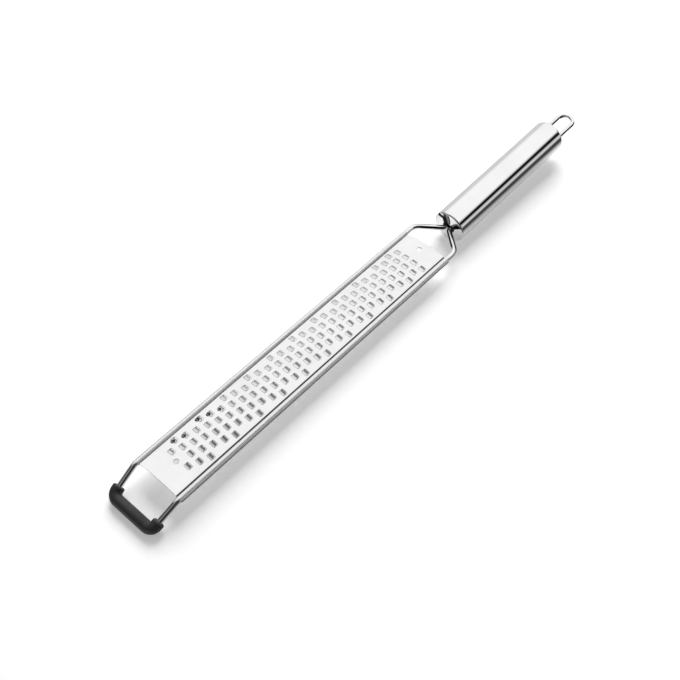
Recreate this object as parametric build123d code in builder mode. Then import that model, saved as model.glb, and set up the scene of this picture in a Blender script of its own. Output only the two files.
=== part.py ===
from build123d import *
from math import asin, cos, degrees, radians, sin
import os

# Rasp zester: a long arched rasp plate whose rolled edges grip a bent-wire frame,
# with a rubber foot at the front and a tubular handle with a hanging loop at the rear.
# X runs from the foot to the loop, Y lies across the plate, and Z = 0 is the table.

os.makedirs("parts", exist_ok=True)

# Driving dimensions in millimetres and degrees

# Wire frame
wire_diameter = 3.4
frame_width = 32.6              # between the centre lines of the two long wires
straight_length = 230.0         # from the front bends to the shoulders
foot_width = 30.0               # between the two slopes' centre lines where they meet the cross wire
front_run = 17.8                # from the front bends to the cross wire, along X
front_drop = 8.4                # from the long wires down to the cross wire
neck_run = 14.6                 # from the shoulders to the handle's front face, along X
front_bend_radius = 6.0
corner_radius = 4.2
shoulder_radius = 8.0
neck_radius = 4.0
leg_gap = 0.2                   # between the two wires where they enter the handle
leg_length = 26.0               # of each wire inside the handle

# Rasp plate
plate_front_gap = 1.6           # from the front bends to the plate's front edge
plate_rear_gap = 8.4            # from the plate's rear edge to the shoulders
plate_thickness = 0.5
arch_radius = 66.0              # of the middle of the sheet
fold_radius = 0.6
wall_height = 0.1               # of the straight wall above the wire's centre line
roll_angle = 160.0              # how far the edge is rolled under the wire
wire_fit = 0.05                 # between the wire and what grips it

# Teeth
row_pitch = 6.43
column_pitch = 6.05
stagger_columns = 3             # each is shifted by one of this many shares of a row
first_column = 15.8             # from the plate's front edge
bare_rear = 16.0                # the least length without teeth at the plate's rear edge
opening_length = 3.1
opening_width = 4.1
opening_corner = 0.8
tongue_tip_gap = 0.8            # left open in front of the cutting edge
tongue_side_gap = 0.4           # left open at each side of the tongue
tongue_thickness = 0.34
tongue_rise = 0.8
tongue_bevel = 0.3
tongue_root = 0.25              # how far the tongue's hinge reaches into the sheet
round_hole_diameter = 3.4
front_hole_shift = 2.5          # from the first column towards the foot
rear_hole_inset = 6.3           # from the plate's rear edge

# Foot sleeve
sleeve_fit = 0.1                # between the wire and the sleeve's bore
sleeve_wall = 1.7
sleeve_arm = 6.2                # of each arm, from the cross wire's centre line up the slope
sleeve_end_radius = 1.0

# Handle
handle_diameter = 21.8
handle_length = 108.7           # from the front cap's face to the rear cap's face
handle_tilt = 2.25              # how much the handle rises towards its rear
handle_wall = 0.8
cap_fit = 0.05
cap_wall = 0.6
front_cap_radius = 1.0          # of the front cap's rounded rim
front_cap_depth = 7.0
rear_cap_radius = 1.6           # of the rear cap's rounded rim
rear_cap_depth = 9.0

# Hanging loop
loop_wire_diameter = 2.8
loop_width = 10.9               # between the centre lines of its two arms
loop_reach = 24.8               # from the rear cap's face to the loop's outer end
loop_fit = 0.05

# One overrun serves all cuts
overrun = 1.0

# Places worked out from the sizes above

wire_radius = wire_diameter / 2
sleeve_bore = wire_radius + sleeve_fit
sleeve_radius = sleeve_bore + sleeve_wall
half_width = frame_width / 2
foot_half_width = foot_width / 2
cross_z = sleeve_radius
wire_z = cross_z + front_drop

tilt = radians(handle_tilt)
handle_reach = (handle_length + loop_reach) * cos(tilt)
total_length = sleeve_radius + front_run + straight_length + neck_run + handle_reach

cross_x = sleeve_radius - total_length / 2
bend_x = cross_x + front_run
shoulder_x = bend_x + straight_length
face_x = shoulder_x + neck_run

# The handle's front rim rests on the table, and its axis rises from there.
handle_radius = handle_diameter / 2
face_z = handle_radius * cos(tilt) - front_cap_radius * sin(tilt)
axis_direction = Vector(cos(tilt), 0, sin(tilt))
handle_face = Vector(face_x, 0, face_z)
handle_axis = Axis(handle_face, axis_direction)
# Profiles to revolve lie in this plane: its X is the handle's axis and its Y points up.
profile_plane = Plane(origin=handle_face, x_dir=axis_direction, z_dir=(0, -1, 0))
# The loop lies in this plane: its X is the handle's axis and its Y lies across.
loop_plane = Plane(origin=handle_face, x_dir=axis_direction, z_dir=(-sin(tilt), 0, cos(tilt)))


# A plane square to the handle's axis, at a distance behind its front face, whose X lies across
def across_handle(distance):
    return Plane(origin=handle_face + axis_direction * distance, x_dir=(0, 1, 0), z_dir=axis_direction)


# Wire frame: one wire from inside the handle, round the foot and back into the handle

leg_side = wire_radius + leg_gap / 2
neck_place = handle_face - axis_direction * (neck_radius / 2)
leg_end = handle_face + axis_direction * leg_length
side_points = [
    (leg_end.X, leg_side, leg_end.Z),
    (neck_place.X, leg_side, neck_place.Z),
    (shoulder_x, half_width, wire_z),
    (bend_x, half_width, wire_z),
    (cross_x, foot_half_width, cross_z),
]
other_side_points = [(x, -y, z) for x, y, z in reversed(side_points)]
side_radii = [neck_radius, shoulder_radius, front_bend_radius, corner_radius]

with BuildPart() as wire_frame:
    with BuildLine() as wire_path:
        FilletPolyline(*side_points, *other_side_points, radius=side_radii + side_radii[::-1])
    with BuildSketch(Plane(origin=wire_path.line @ 0, z_dir=wire_path.line % 0)):
        Circle(wire_radius)
    sweep(path=wire_path.line)

# Foot sleeve: a rubber tube over the cross wire, both corners and the start of each slope

foot_corner = Vector(cross_x, foot_half_width, cross_z)
slope = Vector(bend_x, half_width, wire_z) - foot_corner
arm_end = foot_corner + slope.normalized() * sleeve_arm
sleeve_points = [
    (arm_end.X, arm_end.Y, arm_end.Z),
    (cross_x, foot_half_width, cross_z),
    (cross_x, -foot_half_width, cross_z),
    (arm_end.X, -arm_end.Y, arm_end.Z),
]

with BuildPart() as foot_sleeve:
    with BuildLine() as sleeve_path:
        FilletPolyline(*sleeve_points, radius=corner_radius)
    with BuildSketch(Plane(origin=sleeve_path.line @ 0, z_dir=sleeve_path.line % 0)):
        Circle(sleeve_radius)
        Circle(sleeve_bore, mode=Mode.SUBTRACT)
    sweep(path=sleeve_path.line)
    arm_ends = foot_sleeve.faces().filter_by(GeomType.PLANE)
    fillet([edge for face in arm_ends for edge in face.outer_wire().edges()], radius=sleeve_end_radius)

# Rasp plate: an arched sheet whose edges fold down beside the wires and roll under them

plate_x = bend_x + plate_front_gap
plate_length = straight_length - plate_front_gap - plate_rear_gap
roll_radius = wire_radius + wire_fit + plate_thickness / 2
wall_y = half_width - roll_radius
arch_end_y = (wall_y - fold_radius) / (1 - fold_radius / arch_radius)
arch_slope = asin(arch_end_y / arch_radius)
arch_sag = arch_radius * (1 - cos(arch_slope))
fold_z = wire_z + wall_height
crown_z = fold_z + fold_radius * cos(arch_slope) + arch_sag
arch_centre_z = crown_z - arch_radius
fold_y = wall_y - fold_radius


# A place on the middle of the sheet, whose Z is square to it
def on_arch(x, y):
    lean = asin(y / arch_radius)
    origin = (x, y, arch_centre_z + arch_radius * cos(lean))
    return Plane(origin=origin, x_dir=(1, 0, 0), z_dir=(0, sin(lean), cos(lean))).location


# Each column is shifted sideways from the one before it, except that the last two lie like the
# two before them. Every row that fits between the folds gets a tooth, and a round hole stands
# in for the middle tooth of the first column.
first_x = plate_x + first_column
column_count = int((plate_length - first_column - bare_rear) / column_pitch) + 1
column_steps = [*range(column_count - 2), column_count - 4, column_count - 3]
row_reach = (fold_y - opening_width / 2) / row_pitch
tooth_places = []
for column, step in enumerate(column_steps):
    shift_share = (step % stagger_columns) / stagger_columns
    for row in range(-int(row_reach), int(row_reach) + 2):
        tooth_row = row - shift_share
        if abs(tooth_row) < row_reach and (column > 0 or row != 0):
            tooth_places.append(on_arch(first_x + column * column_pitch, tooth_row * row_pitch))

with BuildPart() as tooth_opening:
    with BuildSketch(Plane.XY.offset(-plate_thickness)):
        Rectangle(opening_length, opening_width)
    extrude(amount=2 * plate_thickness)
    fillet(tooth_opening.edges().filter_by(Axis.Z).group_by(Axis.X)[-1], radius=opening_corner)

# Each tooth is a tongue that curls up out of its opening towards a bevelled cutting edge.
tongue_length = opening_length - tongue_tip_gap
tongue_width = opening_width - 2 * tongue_side_gap
with BuildPart() as tongue:
    hinge_x = -opening_length / 2
    tip_x = hinge_x + tongue_length
    half_thickness = tongue_thickness / 2
    with BuildSketch(Plane.XZ.offset(-tongue_width / 2)):
        with BuildLine():
            bevel_foot = (tip_x - tongue_bevel, tongue_rise - tongue_thickness)
            TangentArc((hinge_x, -half_thickness), bevel_foot, tangent=(1, 0))
            Line(bevel_foot, (tip_x, tongue_rise))
            TangentArc((hinge_x, half_thickness), (tip_x, tongue_rise), tangent=(1, 0))
            Polyline(
                (hinge_x, half_thickness),
                (hinge_x - tongue_root, half_thickness),
                (hinge_x - tongue_root, -half_thickness),
                (hinge_x, -half_thickness),
            )
        make_face()
    extrude(amount=tongue_width)

with BuildPart() as rasp_plate:
    with BuildSketch(Plane.YZ.offset(plate_x)) as plate_section:
        with BuildLine() as middle_of_sheet:
            CenterArc((0, arch_centre_z), arch_radius, 90, -degrees(arch_slope))
            CenterArc((fold_y, fold_z), fold_radius, 90 - degrees(arch_slope), degrees(arch_slope) - 90)
            Line((wall_y, fold_z), (wall_y, wire_z))
            CenterArc((half_width, wire_z), roll_radius, 180, roll_angle)
            mirror(about=Plane.YZ)
        trace(line_width=plate_thickness)
    extrude(amount=plate_length)
    with Locations(*tooth_places):
        add(tooth_opening.part, mode=Mode.SUBTRACT)
        add(tongue.part)
    rear_hole_x = plate_x + plate_length - rear_hole_inset
    with Locations(on_arch(first_x - front_hole_shift, 0), on_arch(rear_hole_x, 0)):
        Cylinder(round_hole_diameter / 2, 2 * plate_thickness, mode=Mode.SUBTRACT)

# Handle tube

bore_radius = handle_radius - handle_wall
with BuildPart() as handle_tube:
    with BuildSketch(across_handle(front_cap_radius)):
        Circle(handle_radius)
        Circle(bore_radius, mode=Mode.SUBTRACT)
    extrude(amount=handle_length - front_cap_radius - rear_cap_radius)

# Front cap: a cup inside the tube, with a rounded rim and a flat face that the wires pass through

spigot_radius = bore_radius - cap_fit
cup_radius = spigot_radius - cap_wall
front_inner_radius = front_cap_radius - cap_wall
with BuildPart() as front_cap:
    with BuildSketch(profile_plane):
        with BuildLine():
            CenterArc((front_cap_radius, handle_radius - front_cap_radius), front_cap_radius, 90, 90)
            Polyline(
                (0, handle_radius - front_cap_radius),
                (0, 0),
                (cap_wall, 0),
                (cap_wall, cup_radius - front_inner_radius),
            )
            CenterArc((front_cap_radius, cup_radius - front_inner_radius), front_inner_radius, 180, -90)
            Polyline(
                (front_cap_radius, cup_radius),
                (front_cap_depth, cup_radius),
                (front_cap_depth, spigot_radius),
                (front_cap_radius, spigot_radius),
                (front_cap_radius, handle_radius),
            )
        make_face()
    revolve(axis=handle_axis)
    with BuildSketch(across_handle(-overrun)):
        SlotCenterToCenter(2 * leg_side, wire_diameter + 2 * wire_fit)
    extrude(amount=front_cap_depth + 2 * overrun, mode=Mode.SUBTRACT)

# Rear cap: the same cup the other way round, with a flat face and two holes for the loop

rear_face = handle_length
rear_rim = rear_face - rear_cap_radius
rear_inner_radius = rear_cap_radius - cap_wall
with BuildPart() as rear_cap:
    with BuildSketch(profile_plane):
        with BuildLine():
            CenterArc((rear_rim, handle_radius - rear_cap_radius), rear_cap_radius, 0, 90)
            Polyline(
                (rear_rim, handle_radius),
                (rear_rim, spigot_radius),
                (rear_face - rear_cap_depth, spigot_radius),
                (rear_face - rear_cap_depth, cup_radius),
                (rear_rim, cup_radius),
            )
            CenterArc((rear_rim, cup_radius - rear_inner_radius), rear_inner_radius, 90, -90)
            Polyline(
                (rear_face - cap_wall, cup_radius - rear_inner_radius),
                (rear_face - cap_wall, 0),
                (rear_face, 0),
                (rear_face, handle_radius - rear_cap_radius),
            )
        make_face()
    revolve(axis=handle_axis)
    with BuildSketch(across_handle(rear_face - rear_cap_depth - overrun)):
        with Locations((-loop_width / 2, 0), (loop_width / 2, 0)):
            Circle(loop_wire_diameter / 2 + loop_fit)
    extrude(amount=rear_cap_depth + 2 * overrun, mode=Mode.SUBTRACT)

# Hanging loop: a bent wire whose two arms stand in the rear cap

loop_start = rear_face - rear_cap_depth
loop_turn = rear_face + loop_reach - loop_wire_diameter / 2 - loop_width / 2
with BuildPart() as hanging_loop:
    with BuildLine(loop_plane) as loop_path:
        Line((loop_start, -loop_width / 2), (loop_turn, -loop_width / 2))
        CenterArc((loop_turn, 0), loop_width / 2, -90, 180)
        Line((loop_turn, loop_width / 2), (loop_start, loop_width / 2))
    with BuildSketch(Plane(origin=loop_path.line @ 0, z_dir=loop_path.line % 0)):
        Circle(loop_wire_diameter / 2)
    sweep(path=loop_path.line)

# Labels and files

wire_frame.part.label = "wire_frame"
foot_sleeve.part.label = "foot_sleeve"
rasp_plate.part.label = "rasp_plate"
handle_tube.part.label = "handle_tube"
front_cap.part.label = "front_cap"
rear_cap.part.label = "rear_cap"
hanging_loop.part.label = "hanging_loop"

export_step(wire_frame.part, "parts/wire_frame.step")
export_step(foot_sleeve.part, "parts/foot_sleeve.step")
export_step(rasp_plate.part, "parts/rasp_plate.step")
export_step(handle_tube.part, "parts/handle_tube.step")
export_step(front_cap.part, "parts/front_cap.step")
export_step(rear_cap.part, "parts/rear_cap.step")
export_step(hanging_loop.part, "parts/hanging_loop.step")
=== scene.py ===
import bpy
from math import radians
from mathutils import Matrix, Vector


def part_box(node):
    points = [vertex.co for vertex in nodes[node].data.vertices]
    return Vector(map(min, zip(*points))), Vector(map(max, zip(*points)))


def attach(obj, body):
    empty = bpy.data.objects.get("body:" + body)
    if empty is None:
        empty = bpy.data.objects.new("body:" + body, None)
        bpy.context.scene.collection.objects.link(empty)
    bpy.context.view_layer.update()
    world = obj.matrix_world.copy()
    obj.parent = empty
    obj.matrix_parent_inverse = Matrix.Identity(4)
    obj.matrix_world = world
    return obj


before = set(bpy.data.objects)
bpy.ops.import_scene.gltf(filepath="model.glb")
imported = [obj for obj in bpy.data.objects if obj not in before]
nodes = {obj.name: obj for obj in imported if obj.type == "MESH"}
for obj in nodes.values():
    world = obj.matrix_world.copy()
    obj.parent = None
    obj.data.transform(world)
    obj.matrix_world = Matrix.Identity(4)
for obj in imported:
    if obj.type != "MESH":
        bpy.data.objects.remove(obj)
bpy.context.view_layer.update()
print("frame loaded:", ", ".join(sorted(nodes)))

# Places on the tool that the finishes and the camera are set by. The wire's are those of its middle,
# where it runs along the plate.
wireRadius = 0.0017
plateFront, plateRear = [corner[0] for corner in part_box("rasp_plate")]
wireSide, wireHeight = [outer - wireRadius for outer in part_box("wire_frame")[1][1:]]
capHeight = sum(corner[2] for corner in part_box("front_cap")) / 2


# Small helpers for node trees

def emptyTree(holder):
    holder.use_nodes = True
    holder.node_tree.nodes.clear()
    return holder.node_tree


def addNode(tree, kind, inputs=None, **settings):
    node = tree.nodes.new(kind)
    for name, value in settings.items():
        setattr(node, name, value)
    for name, value in (inputs or {}).items():
        if isinstance(value, bpy.types.NodeSocket):
            tree.links.new(value, node.inputs[name])
        else:
            node.inputs[name].default_value = value
    return node


def mathNode(tree, operation, *values):
    return addNode(tree, "ShaderNodeMath", dict(enumerate(values)), operation=operation).outputs[0]


def product(tree, level, *others):
    for other in others:
        level = mathNode(tree, "MULTIPLY", level, other)
    return level


def largest(tree, level, *others):
    for other in others:
        level = mathNode(tree, "MAXIMUM", level, other)
    return level


# How far away a point is that lies so far one way and so far across
def distance(tree, oneWay, across):
    squares = mathNode(tree, "ADD", product(tree, oneWay, oneWay), product(tree, across, across))
    return mathNode(tree, "SQRT", squares)


def axesOf(tree, vector):
    return addNode(tree, "ShaderNodeSeparateXYZ", {"Vector": vector}).outputs


def grey(level):
    return level, level, level, 1


def mixValue(tree, share, first, second):
    return addNode(tree, "ShaderNodeMix", {0: share, 2: first, 3: second}).outputs[0]


def mixColour(tree, share, first, second):
    return addNode(tree, "ShaderNodeMix", {0: share, 6: first, 7: second}, data_type="RGBA").outputs[2]


def mapRange(tree, value, low, high, toLow=0.0, toHigh=1.0, smooth=False):
    node = addNode(tree, "ShaderNodeMapRange", {"Value": value, "From Min": low, "From Max": high,
                                                "To Min": toLow, "To Max": toHigh})
    if smooth:
        node.interpolation_type = "SMOOTHSTEP"
    return node.outputs["Result"]


# Each stop is a place from 0 to 1 and a grey level or a colour
def ramp(tree, factor, stops):
    node = addNode(tree, "ShaderNodeValToRGB", {"Fac": factor})
    elements = node.color_ramp.elements
    while len(elements) < len(stops):
        elements.new(0.5)  # anywhere, because the next lines place it
    for element, (place, level) in zip(elements, stops):
        element.position = place
        element.color = (*level, 1) if isinstance(level, tuple) else grey(level)
    return node.outputs["Color"]


# The same for a value that runs from -reach to reach, with places from -1 to 1
def signedRamp(tree, value, reach, stops):
    factor = mapRange(tree, value, -reach, reach)
    return ramp(tree, factor, [((place + 1) / 2, level) for place, level in stops])


def noise(tree, coordinates, scale, detail, roughness=0.5, stretch=(1, 1, 1)):
    mapping = addNode(tree, "ShaderNodeMapping", {"Vector": coordinates, "Scale": stretch})
    node = addNode(tree, "ShaderNodeTexNoise", {"Vector": mapping.outputs["Vector"], "Scale": scale,
                                                "Detail": detail, "Roughness": roughness})
    return node.outputs["Fac"]


noiseSpan = (0.3, 0.7)  # nearly all of a noise lies between these


# Where a surface turns sharply, the rounded normal leaves the flat one: that is where wear shows
def edgeMask(tree, width, full):
    rounded = addNode(tree, "ShaderNodeBevel", {"Radius": width}).outputs["Normal"]
    flat = addNode(tree, "ShaderNodeNewGeometry").outputs["Normal"]
    along = addNode(tree, "ShaderNodeVectorMath", {0: rounded, 1: flat}, operation="DOT_PRODUCT")
    return mapRange(tree, along.outputs["Value"], 1.0, full, smooth=True)


# Steel finishes: fine lines along the piece, faint smudges, wear along the edges and then dull places,
# painted shade and painted reflections, each with its own mask, tone and roughness, and less metal where a
# pale or grey paint stands for a reflection

steelLook = {
    "lineScale": 1.0, "lineDetail": 3.0, "smudgeDetail": 4.0, "smudgeRoughness": 0.6,
    "bumpDepth": 0.0001, "wearFull": 0.8,
}
plateLook = dict(
    steelLook, lineStretch=(40, 900, 900), smudgeScale=60.0, smudgeShare=0.35, roughLow=0.10, roughHigh=0.20,
    darkTone=0.86, paleTone=0.93, bump=0.04, bumpDepth=0.0002, wearWidth=0.0002, wornTone=0.70,
    wornRough=0.30)
# the lips are painted darker than the sheet, as painted shade that outlines the openings
lipLook = dict(plateLook, roughLow=0.25, roughHigh=0.4, darkTone=0.62, paleTone=0.80, wornTone=0.8)
wireLook = dict(
    steelLook, lineStretch=(60, 700, 700), smudgeScale=90.0, smudgeShare=0.5, roughLow=0.04, roughHigh=0.09,
    darkTone=0.88, paleTone=0.94, bump=0.03, wearWidth=0.0003, wornTone=0.75, wornRough=0.25)
loopLook = dict(wireLook, roughLow=0.03, roughHigh=0.06)
handleLook = dict(
    steelLook, lineStretch=(30, 500, 500), smudgeScale=45.0, smudgeShare=0.6, roughLow=0.03, roughHigh=0.08,
    darkTone=0.89, paleTone=0.94, bump=0.02, wearWidth=0.0004, wornTone=0.72, wornRough=0.25)
capLook = dict(handleLook, wearWidth=0.0008, wearFull=0.9, wornTone=0.9, wornRough=0.9)


def steelMaterial(name, look, dullAndPaintedPlaces=()):
    material = bpy.data.materials.new(name)
    tree = emptyTree(material)
    place = addNode(tree, "ShaderNodeTexCoord").outputs["Object"]
    axes = axesOf(tree, place)
    lines = noise(tree, place, look["lineScale"], look["lineDetail"], stretch=look["lineStretch"])
    smudges = noise(tree, place, look["smudgeScale"], look["smudgeDetail"], look["smudgeRoughness"])
    gloss = mixValue(tree, look["smudgeShare"], lines, smudges)
    roughness = mapRange(tree, gloss, *noiseSpan, look["roughLow"], look["roughHigh"])
    tone = ramp(tree, smudges, list(zip(noiseSpan, (look["darkTone"], look["paleTone"]))))
    metal = 1.0
    worn = product(tree, edgeMask(tree, look["wearWidth"], look["wearFull"]), smudges)
    wear = {"tone": look["wornTone"], "rough": look["wornRough"]}
    for mask, placeLook in [(worn, wear)] + [(placeLook["mask"](tree, axes, placeLook), placeLook) for placeLook in dullAndPaintedPlaces]:
        tone = mixColour(tree, mask, tone, grey(placeLook["tone"]))
        roughness = mixValue(tree, mask, roughness, placeLook["rough"])
        if "metal" in placeLook:
            metal = mixValue(tree, mask, metal, placeLook["metal"])
    bump = addNode(tree, "ShaderNodeBump", {"Strength": look["bump"], "Distance": look["bumpDepth"],
                                            "Height": lines})
    steel = addNode(tree, "ShaderNodeBsdfPrincipled", {
        "Base Color": tone, "Metallic": metal, "Roughness": roughness, "Normal": bump.outputs["Normal"]})
    addNode(tree, "ShaderNodeOutputMaterial", {"Surface": steel.outputs["BSDF"]})
    return material


# The masks of the dull places, painted shade and painted reflections. Where a pair of numbers bounds a mask,
# it is nothing at the first and full at the second.

def fromFront(tree, axes):
    return mathNode(tree, "SUBTRACT", axes["X"], plateFront)


def fromRear(tree, axes):
    return mathNode(tree, "SUBTRACT", axes["X"], plateRear)


def outFromWire(tree, side):
    return mathNode(tree, "SUBTRACT", side, wireSide)


def fadeAcross(tree, axes, look, level):
    if "across" not in look:
        return level
    return product(tree, level, mapRange(tree, axes["Y"], *look["across"]))


# The openings of the sheet stand in staggered columns. The names are those of the lip tree's inputs.
toothGrid = {
    "Columns": 32, "Late Columns": 2, "Stagger": 3, "Row Reach": 1.812,
    "Column Pitch": 0.00605, "Row Pitch": 0.00643, "First Column": 0.0158,
}
halfStep = 0.5  # half a column or row, which tells whole numbers apart


# How far a column's rows are shifted, in row pitches. The late columns lie like those before them.
def columnShift(tree, column, grid):
    lateStart = mathNode(tree, "SUBTRACT", grid["Columns"], grid["Late Columns"])
    late = mathNode(tree, "GREATER_THAN", column, mathNode(tree, "SUBTRACT", lateStart, halfStep))
    step = mathNode(tree, "SUBTRACT", column, product(tree, late, grid["Late Columns"]))
    return mathNode(tree, "DIVIDE", mathNode(tree, "MODULO", step, grid["Stagger"]), grid["Stagger"])


# One opening reaches so far from the middle of its column or row
def openingReach(tree, counted, whole, pitch, reach):
    fromMiddle = mathNode(tree, "ABSOLUTE", mathNode(tree, "SUBTRACT", counted, whole))
    return mapRange(tree, product(tree, fromMiddle, pitch), *reach)


def toothMask(tree, axes, look):
    fromFirst = mathNode(tree, "SUBTRACT", fromFront(tree, axes), look["First Column"])
    along = mathNode(tree, "DIVIDE", fromFirst, look["Column Pitch"])
    column = mathNode(tree, "ROUND", along)
    shift = columnShift(tree, column, look)
    across = mathNode(tree, "ADD", mathNode(tree, "DIVIDE", axes["Y"], look["Row Pitch"]), shift)
    row = mathNode(tree, "ROUND", across)
    inLength = openingReach(tree, along, column, look["Column Pitch"], look["halfLength"])
    inWidth = openingReach(tree, across, row, look["Row Pitch"], look["halfWidth"])
    fromCentre = mathNode(tree, "ABSOLUTE", mathNode(tree, "SUBTRACT", row, shift))
    onRow = mathNode(tree, "LESS_THAN", fromCentre, look["Row Reach"])
    onColumn = mathNode(tree, "COMPARE", column, (look["Columns"] - 1) / 2, look["Columns"] / 2)
    # the first column has a round hole in its middle instead
    noHole = mathNode(tree, "GREATER_THAN", largest(tree, column, mathNode(tree, "ABSOLUTE", row)), halfStep)
    return fadeAcross(tree, axes, look, product(tree, inLength, inWidth, noHole, onRow, onColumn))


# Painted shade in the teeth, the shadow under the plate seen through them, by their place along a stretch
# that is measured from the plate's front edge
def frontShadeMask(tree, axes, look):
    along = mapRange(tree, fromFront(tree, axes), *look["stretch"])
    return product(tree, toothMask(tree, axes, look), ramp(tree, along, look["levels"]))


# The stamped edges of the sheet, which stand upright between the folds. Where they begin is measured
# outwards from the wires, so it is negative.
def stampedMask(tree, axes, look):
    flat = addNode(tree, "ShaderNodeNewGeometry").outputs["True Normal"]
    upward = mathNode(tree, "ABSOLUTE", axesOf(tree, flat)["Z"])
    upright = mapRange(tree, upward, *look["upright"], smooth=True)
    side = outFromWire(tree, mathNode(tree, "ABSOLUTE", axes["Y"]))
    inner = mapRange(tree, side, *look["side"], smooth=True)
    return fadeAcross(tree, axes, look, product(tree, upright, inner))


# Round spots, each with its place from the plate's front edge, its place across and its radius
def spotMask(tree, axes, look):
    spots = []
    for x, y, radius in look["spots"]:
        alongX = mathNode(tree, "SUBTRACT", fromFront(tree, axes), x)
        alongY = mathNode(tree, "SUBTRACT", axes["Y"], y)
        away = distance(tree, alongX, alongY)
        spots.append(mapRange(tree, away, radius, radius * look["coreShare"], smooth=True))
    return largest(tree, *spots)


# A stretch along the plate, bounded from the plate's front and rear edges. With a sign, which is -1 for
# the near side and 1 for the far side, it is bounded outwards from the middle of that wire as well,
# and with a height upwards from there.
def stretchMask(tree, axes, look):
    levels = [mapRange(tree, fromFront(tree, axes), *look["front"], smooth=True),
              mapRange(tree, fromRear(tree, axes), *look["rear"], smooth=True)]
    if "sign" in look:
        side = product(tree, axes["Y"], look["sign"])
        levels.append(mathNode(tree, "GREATER_THAN", side, 0.0))
        levels.append(mapRange(tree, outFromWire(tree, side), *look["side"], smooth=True))
    if "height" in look:
        above = mathNode(tree, "SUBTRACT", axes["Z"], wireHeight)
        levels.append(mapRange(tree, above, *look["height"], smooth=True))
    return product(tree, *levels)


# Ground teeth are duller than the sheet. On the far side they are painted darker as shade, and towards the
# front as the shadow under the plate that shows through them.
toothDull = dict(toothGrid, mask=toothMask, halfLength=(0.00158, 0.00150), halfWidth=(0.00208, 0.00200),
                 tone=0.90, rough=0.20)
farTeethShade = dict(toothDull, across=(-0.002, 0.010), tone=0.74, rough=0.26)
frontTeethShade = dict(
    toothDull, mask=frontShadeMask, stretch=(0.00675, 0.12675), across=(0.012, -0.006), tone=0.42, rough=0.30,
    levels=[(0.05, 0.35), (0.15, 0.45), (0.30, 0.85), (0.45, 0.55), (0.65, 0.20), (1.0, 0.0)])
# the stamped edges are painted dark as shade in the folds, most of all on the near side
stampedShade = {"mask": stampedMask, "upright": (0.95, 0.60), "side": (-0.0032, -0.0036),
               "tone": 0.30, "rough": 0.45}
stampedNearShade = dict(stampedShade, across=(0.008, -0.004), tone=0.06, rough=0.5)
# five openings are painted nearly black
blackenedTeeth = {"mask": spotMask, "coreShare": 0.85, "tone": 0.07, "rough": 0.5, "spots": [
    (0.02065, 0.0109, 0.0014), (0.02665, 0.0089, 0.0014), (0.03875, 0.0114, 0.0015),
    (0.04485, 0.0092, 0.0014), (0.05095, 0.0069, 0.0012)]}
# painted shade in the near groove between the folded edge and the wire
plateGrooveShade = {"mask": stretchMask, "front": (-0.00125, -0.00025), "rear": (0.00075, -0.00025), "sign": -1,
               "side": (-0.0025, -0.0022), "height": (0.0013, 0.0008), "tone": 0.20, "rough": 0.50}
plateSteel = steelMaterial("plateSteel", plateLook, [
    toothDull, farTeethShade, frontTeethShade, stampedShade, stampedNearShade, blackenedTeeth, plateGrooveShade])


# Painted reflection: the flanks of the neck wires that face the handle or the plate are painted near black,
# for the dark things they mirror
def neckReflectionMask(tree, axes, look):
    facing = axesOf(tree, addNode(tree, "ShaderNodeNewGeometry").outputs["Normal"])
    toHandle = mapRange(tree, facing["X"], *look["toHandle"], smooth=True)
    toPlate = product(tree, mapRange(tree, facing["X"], *look["toPlate"], smooth=True),
                      mapRange(tree, facing["Z"], *look["upward"], smooth=True))
    nearHandle = mapRange(tree, fromRear(tree, axes), *look["behindPlate"], smooth=True)
    return product(tree, largest(tree, toHandle, toPlate), nearHandle)


# The sheet has rubbed the wire duller where it grips it
rubbedWire = {"mask": stretchMask, "front": (-0.00525, 0.00075), "rear": (0.00475, -0.00125),
              "tone": 0.92, "rough": 0.36}
# painted shade lies in the near groove, and pale, less metallic paint on the near wire's outer flank and the
# far wire's inner one, as painted light for brighter reflections, and painted grey on its outer one for a
# darker reflection
wireGrooveShade = {"mask": stretchMask, "front": (-0.00125, 0.00075), "rear": (0.00075, -0.00125), "sign": -1,
              "side": (-0.0011, -0.0015), "height": (0.0018, 0.0010), "tone": 0.25, "rough": 0.40}
# painted light: pale, less metallic paint standing for brighter reflections, and on the far wire's outer
# flank a painted grey reflection
farInnerPaintedLight = {"mask": stretchMask, "front": (-0.00125, 0.00075), "rear": (0.00075, -0.00125), "sign": 1,
            "side": (-0.0003, -0.0008), "tone": 0.76, "rough": 0.6, "metal": 0.0}
farOuterPaintedReflection = dict(farInnerPaintedLight, side=(0.0006, 0.0012), tone=0.50, metal=0.5)
nearOuterPaintedLight = dict(farInnerPaintedLight, sign=-1, side=(0.0008, 0.0014), tone=0.85, metal=0.2)
neckReflection = {"mask": neckReflectionMask, "toHandle": (0.05, 0.3), "toPlate": (-0.22, -0.36), "upward": (0.1, 0.3),
            "behindPlate": (0.00675, 0.01075), "tone": 0.02, "rough": 0.4}
wireSteel = steelMaterial("wireSteel", wireLook, [
    rubbedWire, nearOuterPaintedLight, farOuterPaintedReflection, farInnerPaintedLight, wireGrooveShade, neckReflection])


# The flank that faces one way
def flankMask(tree, axes, look):
    normal = addNode(tree, "ShaderNodeNewGeometry").outputs["Normal"]
    towards = addNode(tree, "ShaderNodeVectorMath", {0: normal, 1: look["direction"]},
                      operation="DOT_PRODUCT")
    return mapRange(tree, towards.outputs["Value"], *look["facing"], smooth=True)


# A painted reflection: the loop's near flank is painted near black, for the dark things it mirrors
loopReflection = {"mask": flankMask, "direction": (0, -1, 0), "facing": (0.66, 0.80), "tone": 0.02, "rough": 0.4}
loopSteel = steelMaterial("loopSteel", loopLook, [loopReflection])


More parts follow.
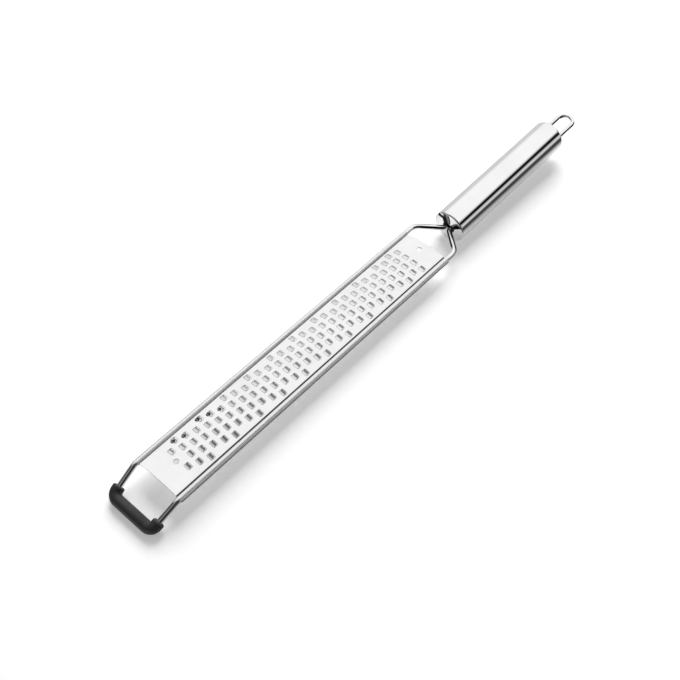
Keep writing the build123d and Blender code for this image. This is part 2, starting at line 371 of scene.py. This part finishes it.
# Painted shade: the dark ring in the gap where the wires go into the front cap. Their height is measured from
# the cap's middle.
def entryMask(tree, axes, look):
    side = mathNode(tree, "ABSOLUTE", axes["Y"])
    beyond = mathNode(tree, "MAXIMUM", mathNode(tree, "SUBTRACT", side, look["legSide"]), 0.0)
    above = mathNode(tree, "SUBTRACT", axes["Z"], capHeight + look["legHeight"])
    return mapRange(tree, distance(tree, beyond, above), *look["reach"], smooth=True)


# Straight streaks on the cap's face, each from one place to another. The places are given across the
# tool and up from the cap's middle.
def streakMask(tree, axes, look):
    above = mathNode(tree, "SUBTRACT", axes["Z"], capHeight)
    streaks = []
    for (startY, startZ), (endY, endZ), halfWidth in look["streaks"]:
        reachY, reachZ = endY - startY, endZ - startZ
        fromY = mathNode(tree, "SUBTRACT", axes["Y"], startY)
        fromZ = mathNode(tree, "SUBTRACT", above, startZ)
        dot = mathNode(tree, "ADD", product(tree, fromY, reachY), product(tree, fromZ, reachZ))
        share = mapRange(tree, dot, 0.0, reachY ** 2 + reachZ ** 2)
        offY = mathNode(tree, "SUBTRACT", fromY, product(tree, share, reachY))
        offZ = mathNode(tree, "SUBTRACT", fromZ, product(tree, share, reachZ))
        away = distance(tree, offY, offZ)
        streaks.append(mapRange(tree, away, halfWidth, halfWidth * look["coreShare"], smooth=True))
    return largest(tree, *streaks)


entryShade = {"mask": entryMask, "legSide": 0.0018, "legHeight": -0.00004, "reach": (0.0032, 0.0022),
             "tone": 0.05, "rough": 0.5}
# painted reflections of the neck wires: dark streaks from there over the cap's face
capWireReflections = {"mask": streakMask, "coreShare": 0.7, "tone": 0.005, "rough": 0.5, "streaks": [
    ((0.0075, 0.00631), (0.0036, 0.00591), 0.0014), ((0.0036, 0.00591), (0.0018, 0.00111), 0.0021)]}
capSteel = steelMaterial("capSteel", capLook, [entryShade, capWireReflections])
handleSteel = steelMaterial("handleSteel", handleLook)

# Moulded rubber of the foot: nearly black, with a fine grain and paler rubbed patches

rubberLook = {
    "grainScale": 900.0, "grainDetail": 3.0, "grainRoughness": 0.6, "patchScale": 70.0, "patchDetail": 3.0,
    "patchSpan": (0.35, 0.7), "dark": (0.022, 0.022, 0.023), "pale": (0.042, 0.042, 0.043),
    "roughLow": 0.42, "roughHigh": 0.62, "bump": 0.25, "bumpDepth": 0.00008,
    "wearWidth": 0.0006, "wearFull": 0.75, "worn": (0.075, 0.075, 0.077),
}


def rubberMaterial(name, look):
    material = bpy.data.materials.new(name)
    tree = emptyTree(material)
    place = addNode(tree, "ShaderNodeTexCoord").outputs["Object"]
    grain = noise(tree, place, look["grainScale"], look["grainDetail"], look["grainRoughness"])
    patches = noise(tree, place, look["patchScale"], look["patchDetail"])
    colour = ramp(tree, patches, list(zip(look["patchSpan"], (look["dark"], look["pale"]))))
    worn = product(tree, edgeMask(tree, look["wearWidth"], look["wearFull"]), patches)
    colour = mixColour(tree, worn, colour, (*look["worn"], 1))
    roughness = mapRange(tree, patches, *noiseSpan, look["roughHigh"], look["roughLow"])
    bump = addNode(tree, "ShaderNodeBump", {"Strength": look["bump"], "Distance": look["bumpDepth"],
                                            "Height": grain})
    rubber = addNode(tree, "ShaderNodeBsdfPrincipled", {
        "Base Color": colour, "Roughness": roughness, "Normal": bump.outputs["Normal"]})
    addNode(tree, "ShaderNodeOutputMaterial", {"Surface": rubber.outputs["BSDF"]})
    return material


footRubber = rubberMaterial("footRubber", rubberLook)

finishes = {
    "rasp_plate": plateSteel,
    "wire_frame": wireSteel,
    "foot_sleeve": footRubber,
    "handle_tube": handleSteel,
    "front_cap": capSteel,
    "rear_cap": handleSteel,
    "hanging_loop": loopSteel,
}
for nodeName, material in finishes.items():
    mesh = nodes[nodeName].data
    mesh.materials.clear()
    mesh.materials.append(material)
print("finishes given to", len(finishes), "nodes")

# Tooth lips: a low ridge of raised metal round every opening of the rasp plate, laid out by a node tree

lipSizes = {
    **toothGrid, "Plate Front": plateFront, "Rows": 4, "First Row": -1,
    "Arch Radius": 0.066, "Arch Centre": -0.05195, "Half Thickness": 0.00025,
    "Length": 0.0031, "Width": 0.0041, "Corner": 0.0008, "Corner Steps": 4,
    "Ridge Width": 0.00026, "Ridge Height": 0.00018, "Ridge Steps": 8,
}


def lipTree(sizes, material):
    tree = bpy.data.node_groups.new("toothLips", "GeometryNodeTree")
    for name, value in sizes.items():
        kind = "NodeSocketInt" if isinstance(value, int) else "NodeSocketFloat"
        tree.interface.new_socket(name, in_out="INPUT", socket_type=kind)
    tree.interface.new_socket("Geometry", in_out="OUTPUT", socket_type="NodeSocketGeometry")
    given = addNode(tree, "NodeGroupInput").outputs

    # a point for every column and row
    count = product(tree, given["Columns"], given["Rows"])
    index = addNode(tree, "GeometryNodeInputIndex").outputs[0]
    column = mathNode(tree, "FLOOR", mathNode(tree, "DIVIDE", index, given["Rows"]))
    row = mathNode(tree, "ADD", mathNode(tree, "MODULO", index, given["Rows"]), given["First Row"])
    toothRow = mathNode(tree, "SUBTRACT", row, columnShift(tree, column, given))
    firstX = mathNode(tree, "ADD", given["Plate Front"], given["First Column"])
    x = mathNode(tree, "ADD", firstX, product(tree, column, given["Column Pitch"]))
    y = product(tree, toothRow, given["Row Pitch"])

    # each point stands on the arched top of the sheet and leans with it
    lean = mathNode(tree, "ARCSINE", mathNode(tree, "DIVIDE", y, given["Arch Radius"]))
    top = mathNode(tree, "ADD", given["Arch Radius"], given["Half Thickness"])
    yTop = product(tree, top, mathNode(tree, "SINE", lean))
    zTop = mathNode(tree, "ADD", given["Arch Centre"], product(tree, top, mathNode(tree, "COSINE", lean)))
    place = addNode(tree, "ShaderNodeCombineXYZ", {"X": x, "Y": yTop, "Z": zTop}).outputs[0]
    points = addNode(tree, "GeometryNodePoints", {"Count": count, "Position": place}).outputs[0]
    turn = addNode(tree, "ShaderNodeCombineXYZ", {"X": product(tree, lean, -1)}).outputs[0]
    turned = addNode(tree, "GeometryNodeStoreNamedAttribute",
                     {"Geometry": points, "Name": "turn", "Value": turn},
                     data_type="FLOAT_VECTOR", domain="POINT").outputs[0]

    # no lip past the sheet's edges, or where the first column has its round hole
    outside = mathNode(tree, "GREATER_THAN", mathNode(tree, "ABSOLUTE", toothRow), given["Row Reach"])
    atHole = product(tree, mathNode(tree, "LESS_THAN", column, halfStep),
                     mathNode(tree, "COMPARE", row, 0.0, halfStep))
    teeth = addNode(tree, "GeometryNodeDeleteGeometry", {
        "Geometry": turned, "Selection": largest(tree, outside, atHole)}, domain="POINT").outputs[0]

    # one lip: an oval profile along a rounded rectangle
    outline = addNode(tree, "GeometryNodeCurvePrimitiveQuadrilateral",
                      {"Width": given["Length"], "Height": given["Width"]}).outputs[0]
    rounded = addNode(tree, "GeometryNodeFilletCurve", {
        "Curve": outline, "Count": given["Corner Steps"], "Radius": given["Corner"]}, mode="POLY").outputs[0]
    halfRidge = mathNode(tree, "DIVIDE", given["Ridge Width"], 2.0)
    circle = addNode(tree, "GeometryNodeCurvePrimitiveCircle",
                     {"Resolution": given["Ridge Steps"], "Radius": halfRidge}).outputs[0]
    lip = addNode(tree, "GeometryNodeCurveToMesh", {"Curve": rounded, "Profile Curve": circle}).outputs[0]
    flatter = mathNode(tree, "DIVIDE", given["Ridge Height"], given["Ridge Width"])
    scale = addNode(tree, "ShaderNodeCombineXYZ", {"X": 1.0, "Y": 1.0, "Z": flatter}).outputs[0]
    lowLip = addNode(tree, "GeometryNodeTransform", {"Geometry": lip, "Scale": scale}).outputs[0]

    storedTurn = addNode(tree, "GeometryNodeInputNamedAttribute", {"Name": "turn"},
                         data_type="FLOAT_VECTOR").outputs[0]
    lips = addNode(tree, "GeometryNodeInstanceOnPoints", {
        "Points": teeth, "Instance": lowLip, "Rotation": storedTurn}).outputs[0]
    joined = addNode(tree, "GeometryNodeRealizeInstances", {"Geometry": lips}).outputs[0]
    painted = addNode(tree, "GeometryNodeSetMaterial", {"Geometry": joined, "Material": material}).outputs[0]
    addNode(tree, "NodeGroupOutput", {"Geometry": painted})
    return tree


def makeLips(sizes, look):
    material = steelMaterial("lipSteel", look)
    tree = lipTree(sizes, material)
    holder = bpy.data.objects.new("lipHolder", bpy.data.meshes.new("lipHolder"))
    bpy.context.scene.collection.objects.link(holder)
    modifier = holder.modifiers.new("lips", "NODES")
    modifier.node_group = tree
    for socket in tree.interface.items_tree:
        if socket.in_out == "INPUT":
            modifier[socket.identifier] = sizes[socket.name]
    view = bpy.context.evaluated_depsgraph_get()
    mesh = bpy.data.meshes.new_from_object(holder.evaluated_get(view), depsgraph=view)
    mesh.name = "toothLips"
    holder.modifiers.remove(modifier)
    bpy.data.objects.remove(holder)
    lips = bpy.data.objects.new("toothLips", mesh)
    bpy.context.scene.collection.objects.link(lips)
    # the holder's empty slot came along, so the one finish takes its place
    mesh.materials.clear()
    mesh.materials.append(material)
    mesh.polygons.foreach_set("material_index", [0] * len(mesh.polygons))
    mesh.polygons.foreach_set("use_smooth", [True] * len(mesh.polygons))
    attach(lips, "root")
    print("tooth lips laid out:", len(mesh.polygons), "faces")


makeLips(lipSizes, lipLook)

# Studio: a white floor, a soft key from the plate's far side, and the room that the steel mirrors

floorLook = {
    "size": 6.0,
    "colour": 0.90,
    "lift": 0.31,           # added for camera and mirror rays, so that the floor reads white
    # the floor that the steel mirrors turns dark away from the object, by its place across
    "darkGreys": (0.045, 0.30), "darkDepth": (-0.05, -0.60), "darkReach": 0.05,
    "darkShares": [(-0.92, 1.0), (-0.70, 0.80), (-0.50, 0.60), (-0.34, 0.22), (0.20, 0.12), (0.48, 0.50)],
}


def makeFloor(look):
    half = look["size"] / 2
    mesh = bpy.data.meshes.new("floor")
    corners = [(-half, -half, 0), (half, -half, 0), (half, half, 0), (-half, half, 0)]
    mesh.from_pydata(corners, [], [(0, 1, 2, 3)])
    floor = bpy.data.objects.new("floor", mesh)
    bpy.context.scene.collection.objects.link(floor)
    material = bpy.data.materials.new("paleFloor")
    tree = emptyTree(material)
    paths = addNode(tree, "ShaderNodeLightPath").outputs
    lift = product(tree, largest(tree, paths["Is Camera Ray"], paths["Is Glossy Ray"]), look["lift"])
    paint = addNode(tree, "ShaderNodeBsdfDiffuse", {"Color": grey(look["colour"])})
    glow = addNode(tree, "ShaderNodeEmission", {"Strength": lift})
    pale = addNode(tree, "ShaderNodeAddShader", {0: paint.outputs[0], 1: glow.outputs[0]})
    across = axesOf(tree, addNode(tree, "ShaderNodeTexCoord").outputs["Object"])["Y"]
    far = signedRamp(tree, across, look["darkReach"], look["darkShares"])
    darkGrey = mapRange(tree, across, *look["darkDepth"], *look["darkGreys"])
    dark = addNode(tree, "ShaderNodeEmission", {"Color": grey(1.0), "Strength": darkGrey})
    both = addNode(tree, "ShaderNodeMixShader", {0: product(tree, far, paths["Is Glossy Ray"]),
                                                 1: pale.outputs[0], 2: dark.outputs[0]})
    addNode(tree, "ShaderNodeOutputMaterial", {"Surface": both.outputs[0]})
    mesh.materials.append(material)


makeFloor(floorLook)

roomLook = {
    "fill": 0.22,           # even light from all round
    # the dark half lies towards the foot and the near side, and the white one beyond this edge
    "halfAcross": 0.6, "halfEdge": (-0.12, 0.16), "highFrom": (0.35, 0.65), "lowShift": 0.20,
    # grey of the dark half by its place across, from the near side to the far side
    "halfGreys": [(-1.0, 0.02), (-0.6, 0.02), (-0.42, 0.07), (-0.25, 0.17), (-0.05, 0.26), (0.1, 0.22),
                  (0.3, 0.14), (0.5, 0.10), (0.75, 0.08), (1.0, 0.05)],
    # where across the white half turns from the near side's greys to the far side's
    "nearEdge": (-0.12, -0.30),
    # grey by height on the near side: a horizon, a dark line and white above it
    "nearGreys": [(0.0, 0.60), (0.07, 0.68), (0.15, 0.60), (0.20, 0.50), (0.25, 0.26), (0.30, 0.03),
                  (0.33, 0.0), (0.42, 0.0), (0.47, 0.03), (0.51, 0.35), (0.56, 0.75), (0.62, 0.97),
                  (0.66, 1.0)],
    "farGreys": [(0.0, 0.50), (0.10, 0.64), (0.22, 0.80), (0.35, 0.93), (0.47, 1.0)],
}


def makeRoom(look):
    world = bpy.data.worlds.new("room")
    bpy.context.scene.world = world
    tree = emptyTree(world)
    axes = axesOf(tree, addNode(tree, "ShaderNodeTexCoord").outputs["Generated"])
    nearSide = ramp(tree, axes["Z"], look["nearGreys"])
    farSide = ramp(tree, axes["Z"], look["farGreys"])
    nearShare = mapRange(tree, axes["Y"], *look["nearEdge"], smooth=True)
    whiteHalf = mixColour(tree, nearShare, farSide, nearSide)
    darkHalf = signedRamp(tree, axes["Y"], 1.0, look["halfGreys"])
    # high up the edge between the halves runs askew, and low down it stands further to the right
    high = mapRange(tree, axes["Z"], *look["highFrom"], smooth=True)
    askew = product(tree, axes["Y"], look["halfAcross"], high)
    lowShift = product(tree, mathNode(tree, "SUBTRACT", 1.0, high), look["lowShift"])
    edgePlace = mathNode(tree, "SUBTRACT", mathNode(tree, "ADD", axes["X"], askew), lowShift)
    whiteShare = mapRange(tree, edgePlace, *look["halfEdge"], smooth=True)
    sky = mixColour(tree, whiteShare, darkHalf, whiteHalf)
    paths = addNode(tree, "ShaderNodeLightPath").outputs
    mirrored = mixColour(tree, paths["Is Glossy Ray"], grey(look["fill"]), sky)
    shown = mixColour(tree, paths["Is Camera Ray"], mirrored, grey(1.0))
    light = addNode(tree, "ShaderNodeBackground", {"Color": shown, "Strength": 1.0})
    addNode(tree, "ShaderNodeOutputWorld", {"Surface": light.outputs[0]})


makeRoom(roomLook)

# a long soft box beside the tool, which reaches further out behind the handle
keyLook = {"place": (1.9, 1.24, 1.8), "aim": (1.9, 0, 0), "length": 2.4, "width": 2.0, "power": 114.0}


def makeKey(look):
    lamp = bpy.data.lights.new("key", "AREA")
    lamp.shape = "RECTANGLE"
    lamp.size, lamp.size_y = look["length"], look["width"]
    lamp.energy = look["power"]
    key = bpy.data.objects.new("key", lamp)
    key.location = look["place"]
    ray = Vector(look["aim"]) - Vector(look["place"])
    key.rotation_euler = ray.to_track_quat("-Z", "Y").to_euler()
    key.visible_glossy = False
    bpy.context.scene.collection.objects.link(key)


makeKey(keyLook)

# The camera stands by the plate's front edge, so it keeps its view when the foot's size changes
cameraLook = {"fromPlate": (-0.12925, -0.24242, 0.47029), "tilt": 37.32, "turn": -48.12, "lens": 53.34}


def makeCamera(look):
    data = bpy.data.cameras.new("camera")
    data.lens = look["lens"]
    camera = bpy.data.objects.new("camera", data)
    x, y, z = look["fromPlate"]
    camera.location = (plateFront + x, y, z)
    camera.rotation_euler = (radians(look["tilt"]), 0, radians(look["turn"]))
    bpy.context.scene.collection.objects.link(camera)
    bpy.context.scene.camera = camera


makeCamera(cameraLook)
bpy.context.scene.view_settings.view_transform = "Standard"
print("studio and camera placed")
